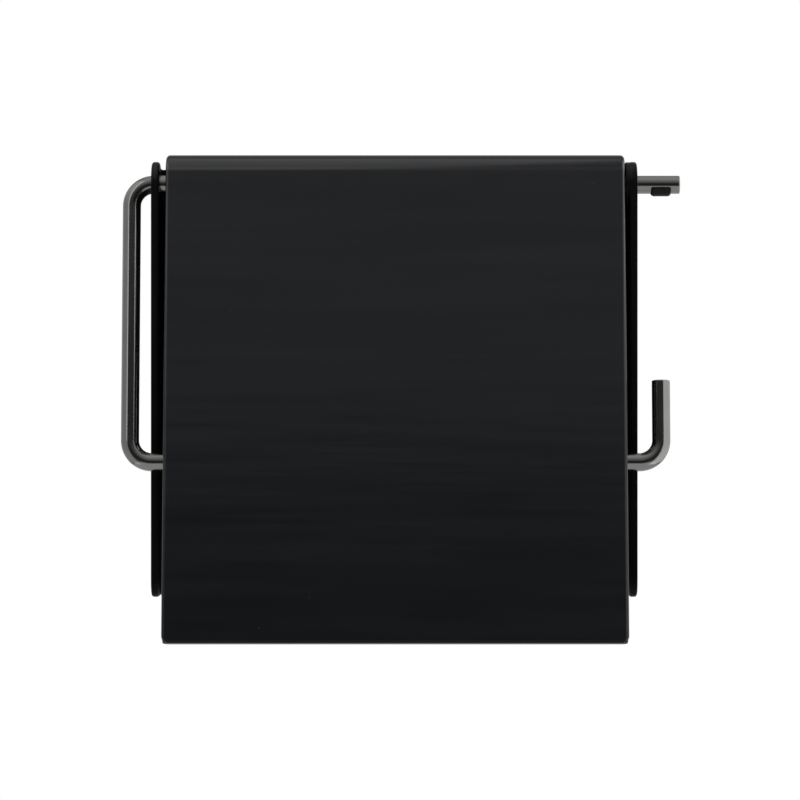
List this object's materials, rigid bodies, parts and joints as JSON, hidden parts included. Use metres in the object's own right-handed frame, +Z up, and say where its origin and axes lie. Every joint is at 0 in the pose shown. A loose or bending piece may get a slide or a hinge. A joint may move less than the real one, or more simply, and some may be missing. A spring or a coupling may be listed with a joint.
{
  "type": "covered toilet roll holder",
  "caption": "Wall-mounted toilet roll holder with a hinged black cover over a swinging chromed wire roll bar with an open, upturned end.",
  "frame": {"origin": "midway between the two wall-screw holes, on the wall", "axes": "+X to the right across the front, +Y into the wall, +Z up"},
  "size_m": [0.1636, 0.0404, 0.1423],
  "materials": {
    "black_matt_plastic": "matt fine-grained moulding",
    "chromed_wire": "polished bright chrome",
    "black_nylon": "satin nylon",
    "black_gloss_plastic": "glossy moulding",
    "soft_rubber": "soft matt rubber",
    "plated_screw": "zinc plated"
  },
  "bodies": {
    "wall_unit": {"back_plate": "black_matt_plastic"},
    "wire": {"wire_frame": "chromed_wire", "bar_stop": "black_nylon"},
    "cover": {"cover_panel": "black_gloss_plastic", "left_hinge_clip": "black_nylon", "left_cover_bumper": "soft_rubber", "left_clip_first_screw": "plated_screw", "left_clip_second_screw": "plated_screw", "right_hinge_clip": "black_nylon", "right_cover_bumper": "soft_rubber", "right_clip_first_screw": "plated_screw", "right_clip_second_screw": "plated_screw"}
  },
  "joints": [
    {"name": "wire_swing", "type": "hinge", "parent": "wall_unit", "child": "wire", "pos_m": [0, -0.0125, 0.05], "axis": [-1, 0, 0], "range_deg": [0, 50]},
    {"name": "cover_flip", "type": "hinge", "parent": "wire", "child": "cover", "pos_m": [0, -0.0125, 0.05], "axis": [-1, 0, 0], "range_deg": [0, 123]}
  ]
}
